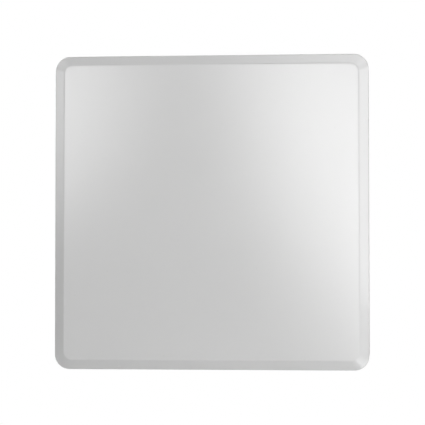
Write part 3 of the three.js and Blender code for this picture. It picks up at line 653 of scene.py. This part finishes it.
def vent():
    """A low domed head with notches round it, through which the housing breathes."""
    dish = [(2.2, -2.75), (4.6, -2.75), (5.0, -2.5), (5.6, -2.5), (6.0, -2.8)]
    shoulder = [(7.1, -2.8), (VENT_RADIUS, -1.4), (VENT_RADIUS, -GAP)]
    stem = [(VENT_RADIUS, -GAP), (VENT_BODY, -GAP), (VENT_BODY, 5.5), (5.3, 5.95)]
    skin = Skin().turn(softened(dish + shoulder, 0.4) + softened(stem, 0.2)[1:])
    inner, outer, half = VENT_RADIUS - 1.2, VENT_RADIUS + 1, 0.6
    notches = Skin()
    for k in range(VENT_NOTCHES):
        angle = (k + 0.5) * 2 * math.pi / VENT_NOTCHES
        along = Vector((math.cos(angle), math.sin(angle)))
        side = Vector((-along.y, along.x)) * half
        foot = [along * inner - side, along * outer - side, along * outer + side, along * inner + side]
        notches.loft([[(p.x, p.y, z) for p in foot] for z in (-1.1, 0.4)])
    return finished(cut(mesh_of("vent_head", skin), notches), LOOKS["black_plastic"])


show("vent_head", vent(), ["vent_plug"], (SIDE_FITTING, -STRIP, PLATE_REAR))


def earth_screw():
    """A hexagon screw with a washer face and chamfered corners."""
    apothem = HEX_ACROSS_CORNERS / 2 * math.cos(math.pi / 6)

    def hexagon(limit):
        sixth = math.pi / 3
        return lambda angle: min(limit, apothem / math.cos((angle + sixth / 2) % sixth - sixth / 2))

    skin = Skin()
    washer = [(1.8, -1.05), (4.8, -1.05), (5, -0.85), (5, -GAP)]
    shank = [(2, -GAP), (2, 7.4), (1.6, 7.95)]
    skin.turn(softened(washer + shank, 0.12))
    levels = [(3.0, -3.75), (3.35, -3.85), (3.6, -3.8), (4.1, -3.5), (4.1, -1.2), (4.1, -0.9)]
    skin.loft([round_ring(hexagon(limit), z, 72) for limit, z in levels])
    return finished(mesh_of("earth_screw", skin), LOOKS["fastener_steel"], 20)


show("earth_screw", earth_screw(), ["ground_screw"], (-SIDE_FITTING, -STRIP, PLATE_REAR))

# ---- Coaxial jack ----


def jack_barrel():
    """A tube with an outside thread: its bore, its lip, the thread, and the spigot through the plate."""
    bore = INSULATOR + 0.2
    core = BARREL - 0.6
    neck_end = FLANGE_REAR + SINK
    socket = [(bore, SPIGOT_END), (bore, SOCKET_FLOOR), (SOCKET, SOCKET_FLOOR), (SOCKET, BARREL_END + 0.4)]
    lip = [(SOCKET + 0.3, BARREL_END), (core, BARREL_END), (BARREL - 0.1, BARREL_END + 0.5)]
    thread = threaded(BARREL, 0.55, BARREL_PITCH, BARREL_END + 0.6, FLANGE_REAR - 1.4)
    neck = [(core, FLANGE_REAR - 1.2), (core, neck_end), (SPIGOT, neck_end)]
    spigot = [(SPIGOT, SPIGOT_END - 0.2), (SPIGOT - 0.2, SPIGOT_END)]
    rings = plain_rings(socket + lip) + thread + plain_rings(neck + spigot)
    return finished(mesh_of("jack_barrel", Skin().loft(rings, closed=True)), LOOKS["jack_plating"], 50)


def jack_flange():
    """A square flange with four screw holes, round the barrel's neck."""
    half = FLANGE_HALF
    rear, front = FLANGE_REAR, FLANGE_FRONT
    edge = [(half - 1, 1, rear), (half, 1.6, rear), (half, 1.6, front), (half - 1, 1, front)]
    mesh = mesh_of("jack_flange", Skin().loft([square_ring(h, r, z) for h, r, z in softened(edge, 0.3)]))
    holes = round_cutter(Skin(), 0, 0, BARREL - 0.7, rear - 0.9, 1)
    for x, y in square_of(FLANGE_HOLE):
        round_cutter(holes, x, y, FLANGE_SCREW, rear - 0.9, 1)
    return finished(cut(mesh, holes), LOOKS["jack_plating"])


def jack_insulator():
    """A sleeve round the contact."""
    bore, rear = CONTACT + 0.2, SOCKET_FLOOR + GAP
    profile = [(bore, rear), (INSULATOR, rear), (INSULATOR, SPIGOT_END), (bore, SPIGOT_END)]
    skin = Skin().turn(softened(profile, 0.15, closed=True), closed=True)
    return finished(mesh_of("insulator", skin), LOOKS["fluoropolymer"])


def jack_contact():
    """A gold-plated socket contact, slit crosswise at its open end."""
    bore, mouth = 0.85, -14
    socket = [(bore, -9.2), (bore, mouth), (bore + 0.15, mouth - 0.1), (CONTACT - 0.1, mouth - 0.1)]
    pin = [(CONTACT, mouth), (CONTACT, SPIGOT_END), (0.9, SPIGOT_END), (0.9, 7.2), (0.7, 7.4)]
    mesh = mesh_of("contact", Skin().turn(socket + pin, sides=32))
    slits = Skin().loft([cross_ring(2, 0.12, mouth - 1), cross_ring(2, 0.12, mouth + 3)])
    return finished(cut(mesh, slits), LOOKS["contact_plating"])


jack_place = (0, -STRIP, 0)
show("jack_barrel", jack_barrel(), ["jack_body"], jack_place)
show("jack_flange", jack_flange(), (), jack_place)
show("jack_insulator_sleeve", jack_insulator(), ["jack_insulator"], jack_place)
show("jack_socket_contact", jack_contact(), ["jack_contact"], jack_place)


def dust_cap():
    """A push-on cup with a ribbed grip ring round its closed end."""

    def gripped(radius):
        return lambda angle: radius - 0.22 * (0.5 - 0.5 * math.cos(CAP_RIBS * angle)) ** 2

    rear = [(5.6, CAP_REAR + 0.4), (6.4, CAP_REAR + 0.35), (6.9, CAP_REAR), (9.9, CAP_REAR)]
    grip = [(10.0, CAP_REAR), (10.89, CAP_REAR + 0.6), (10.89, CAP_REAR + 1.7), (9.8, -15.75)]
    skirt = [(CAP_RADIUS, -15.6), (CAP_RADIUS, CAP_MOUTH), (CAP_BORE, CAP_MOUTH), (CAP_BORE, -16.2), (7.7, -16.6)]
    stations = softened(rear, 0.3)
    stations += [(gripped(r), z) for r, z in softened(grip, 0.3)]
    stations += softened(skirt, 0.35)
    rings = [round_ring(r, z, CAP_RIBS * 6) for r, z in stations]
    return finished(mesh_of("dust_cap", Skin().loft(rings)), LOOKS["cap_plastic"])


show("ribbed_dust_cap", dust_cap(), ["dust_cap"], jack_place, "cap")

# ---- CAD nodes that stay, each with its slot's finish ----

KEPT_SLOTS = {
    "rim_gasket": "seal_rubber",
    "jack_gasket": "seal_rubber",
    "coax_jumper": "lead_copper",
    "feed_board": "laminate",
    "hybrid_trace": "copper",
    "load_resistor": "resistor_ceramic",
    "feed_probe": "copper",
    "driven_patch": "patch_aluminium",
    "director_patch": "patch_aluminium",
    "lower_spacer": "nylon",
    "upper_spacer": "nylon",
    "stack_screw": "nylon",
    "center_post": "nylon",
    "center_screw": "fastener_steel",
}
for name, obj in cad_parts.items():
    if obj.hide_render:
        continue
    stem = name.rstrip("0123456789").rstrip("_")
    for material_slot in obj.material_slots:
        material_slot.material = LOOKS[KEPT_SLOTS[stem]]

# ---- Floor and world: places in metres, in the row frame, from here on ----

FLOOR_LEVEL = -0.45
FLOOR_RADIUS = 2.4
# The floor's painted glow: where it starts and where it is full, in metres from the floor's middle, then its
# strength
FLOOR_FADE = (0.9, 2.3)
FLOOR_GLOW = 0.7
FLOOR_THICKNESS = 2  # in millimetres
AMBIENT = 0.13
WHITE = (1, 1, 1, 1)


def floor_finish():
    """A pale floor with a painted glow: it gives off light of its own, none near the middle and more towards its
    edge, so that it goes over to the white of the backdrop and its edge doesn't show.
    """
    made = plain_finish("floor", grey(0.68), grey(0.66), (0.6, 0.8), 40, 2e-4, 2.0, Emission_Color=WHITE)
    away = made.node("ShaderNodeVectorMath", {0: made.object}, operation="LENGTH").outputs["Value"]
    # Painted glow: emission that grows with the distance from the floor's middle
    made.drive("Emission Strength", made.ranged(away, *FLOOR_FADE, 0.0, FLOOR_GLOW))
    return made.material


radius = FLOOR_RADIUS / MM
disc = Skin().turn([(radius, -FLOOR_THICKNESS), (radius, 0)], sides=96)
floor = placed("floor", mesh_of("floor", disc))
floor.data.materials.append(floor_finish())
floor.rotation_euler = (math.radians(90), 0, 0)
floor.location = (0, 0, FLOOR_LEVEL)


def backdrop():
    """White to the camera, and a dim even light to everything else."""
    world = bpy.data.worlds.new("studio")
    world.use_nodes = True
    nodes, links = world.node_tree.nodes, world.node_tree.links
    white = nodes["Background"]
    white.inputs["Color"].default_value = WHITE
    dim = nodes.new("ShaderNodeBackground")
    dim.inputs["Color"].default_value = WHITE
    dim.inputs["Strength"].default_value = AMBIENT
    seen = nodes.new("ShaderNodeLightPath")
    either = nodes.new("ShaderNodeMixShader")
    links.new(seen.outputs["Is Camera Ray"], either.inputs[0])
    links.new(dim.outputs[0], either.inputs[1])
    links.new(white.outputs[0], either.inputs[2])
    links.new(either.outputs[0], nodes["World Output"].inputs["Surface"])
    return world


bpy.context.scene.world = backdrop()

# ---- Lights ----

# Soft cards: name, place, half axes, tilt in degrees, softness and strength. The first two stand behind the camera
# and show in the satin face. The others stand round the panel and light its bevel and its corners.
SOFT_LIGHTS = (
    ("key_card", (0.3, -4.0, 0.2), (0.8, 0.35), -60, 0.65, 6.5),
    ("corner_card", (-1.0, -4.0, 0.55), (0.35, 0.4), 0, 0.7, 5.5),
    ("left_card", (-2.2, -0.95, 0.45), (0.3, 0.35), 0, 0.6, 3.5),
    ("right_card", (2.2, -1.4, 0.25), (0.5, 0.55), 0, 0.4, 1.0),
    ("overhead_card", (0.45, -1.05, 2.2), (0.5, 0.45), 0, 0.5, 3.0),
    ("floor_card", (0.35, -0.3, -0.42), (0.25, 0.15), 0, 0.95, 2.2),
    ("upper_left_card", (-1.65, -1.05, 1.35), (0.6, 0.65), 0, 0.95, 1.7),
    ("upper_right_card", (1.4, -1.2, 1.5), (0.65, 0.65), 0, 0.9, 3.0),
)
# Area lights: name, place, size, and power in watts. Each points at the panel.
AREA_LIGHTS = (
    ("right_near", (0.9, -0.5, 0.15), 0.5, 1.7),
    ("rear", (-0.9, 2.0, 0.7), 1.0, 14),
    ("rear_right", (1.6, 2.0, 0.3), 1.0, 8),
)


def card_glow(name, axes, softness, strength):
    """Light that fades over the card's edge. The card itself is see-through, so that it casts no shadow."""
    glow = bpy.data.materials.new(name)
    glow.use_nodes = True
    tree = glow.node_tree
    tree.nodes.clear()
    coordinates = tree.nodes.new("ShaderNodeTexCoord")
    scale = tree.nodes.new("ShaderNodeMapping")
    scale.inputs["Scale"].default_value = (1 / axes[0], 0, 1 / axes[1])
    away = tree.nodes.new("ShaderNodeVectorMath")
    away.operation = "LENGTH"
    fade = tree.nodes.new("ShaderNodeMapRange")
    fade.interpolation_type = "SMOOTHSTEP"
    limits = {"From Min": 1 - softness, "From Max": 1 + softness, "To Min": strength, "To Max": 0}
    for socket, value in limits.items():
        fade.inputs[socket].default_value = value
    light = tree.nodes.new("ShaderNodeEmission")
    clear = tree.nodes.new("ShaderNodeBsdfTransparent")
    both = tree.nodes.new("ShaderNodeAddShader")
    out = tree.nodes.new("ShaderNodeOutputMaterial")
    tree.links.new(coordinates.outputs["Object"], scale.inputs["Vector"])
    tree.links.new(scale.outputs["Vector"], away.inputs[0])
    tree.links.new(away.outputs["Value"], fade.inputs["Value"])
    tree.links.new(fade.outputs["Result"], light.inputs["Strength"])
    tree.links.new(light.outputs[0], both.inputs[0])
    tree.links.new(clear.outputs[0], both.inputs[1])
    tree.links.new(both.outputs[0], out.inputs["Surface"])
    return glow


def soft_light(name, place, axes, tilt, softness, strength):
    """An oval card that faces the panel, as large as its light reaches."""
    reach = 1 + softness
    outline = [(x * reach * axes[0], 0, y * reach * axes[1]) for x, y, _ in round_ring(1, 0)]
    mesh = bpy.data.meshes.new(name)
    mesh.from_pydata(outline, [], [list(range(len(outline)))])
    mesh.materials.append(card_glow(name, axes, softness, strength))
    card = placed(name, mesh)
    card.location = place
    towards = (-Vector(place)).to_track_quat("Y", "Z")
    card.rotation_euler = (towards @ Quaternion((0, 1, 0), -math.radians(tilt))).to_euler()
    card.visible_camera = False


def area_light(name, place, size, power):
    """A round lamp that faces the panel."""
    data = bpy.data.lights.new(name, "AREA")
    data.shape, data.size, data.energy = "DISK", size, power
    lamp = bpy.data.objects.new(name, data)
    lamp.location = place
    lamp.rotation_euler = Vector(place).to_track_quat("Z", "Y").to_euler()
    lamp.visible_camera = False
    bpy.context.scene.collection.objects.link(lamp)


for values in SOFT_LIGHTS:
    soft_light(*values)
for values in AREA_LIGHTS:
    area_light(*values)

# ---- Camera: to the panel's right and a little below it ----

CAMERA_AZIMUTH = math.radians(4.56)
CAMERA_ELEVATION = math.radians(-1.87)
CAMERA_DISTANCE = 1.289
CAMERA_TARGET = Vector((0.0004, -0.018, 0.0))
CAMERA_LENS = 132.3
CAMERA_SENSOR = 36

data = bpy.data.cameras.new("camera")
data.lens = CAMERA_LENS
data.sensor_width = CAMERA_SENSOR
camera = bpy.data.objects.new("camera", data)
bpy.context.scene.collection.objects.link(camera)
level = math.cos(CAMERA_ELEVATION)
back = Vector((math.sin(CAMERA_AZIMUTH) * level, -math.cos(CAMERA_AZIMUTH) * level, math.sin(CAMERA_ELEVATION)))
camera.location = CAMERA_TARGET + back * CAMERA_DISTANCE
camera.rotation_euler = (-back).to_track_quat("-Z", "Y").to_euler()
bpy.context.scene.camera = camera
bpy.context.scene.view_settings.view_transform = "Standard"
